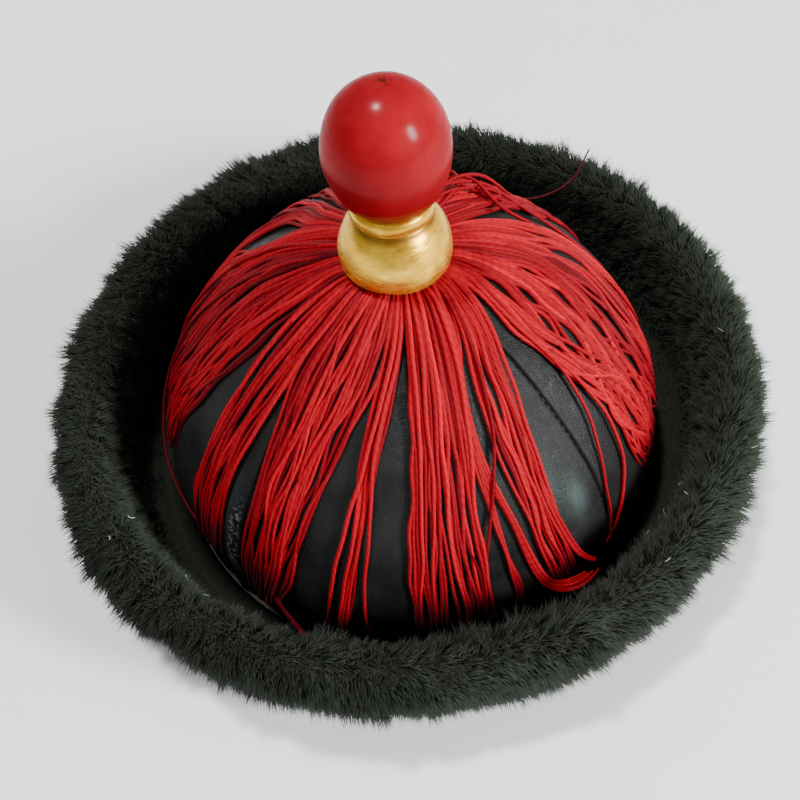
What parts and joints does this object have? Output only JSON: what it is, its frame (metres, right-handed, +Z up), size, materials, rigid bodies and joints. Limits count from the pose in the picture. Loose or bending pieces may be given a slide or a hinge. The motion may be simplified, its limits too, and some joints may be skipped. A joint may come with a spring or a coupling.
{
  "type": "mandarin hat",
  "caption": "Qing winter court hat: gored black leather crown in an upturned dark fur brim, with a red cord fringe under a gilt base and a red ball finial.",
  "frame": {"origin": "on the surface it stands on, under the middle of its worn outline", "axes": "+Z up through the finial, -Y the hat's front, +X the wearer's left"},
  "size_m": [0.2652, 0.2592, 0.1862],
  "materials": {
    "crown_leather": "satin black",
    "brim_cloth": "matt black plush",
    "fur_plush": "deep pile, dark green-black",
    "red_cord": "soft twisted cord",
    "gilt_wood": "gold paint, satin",
    "red_wood": "red paint, glossy",
    "post_steel": "plain"
  },
  "bodies": {
    "root": {"crown": "crown_leather", "brim": "brim_cloth", "fur_band": "fur_plush", "fringe": "red_cord", "finial_base": "gilt_wood", "finial_ball": "red_wood", "finial_post": "post_steel"}
  },
  "joints": []
}
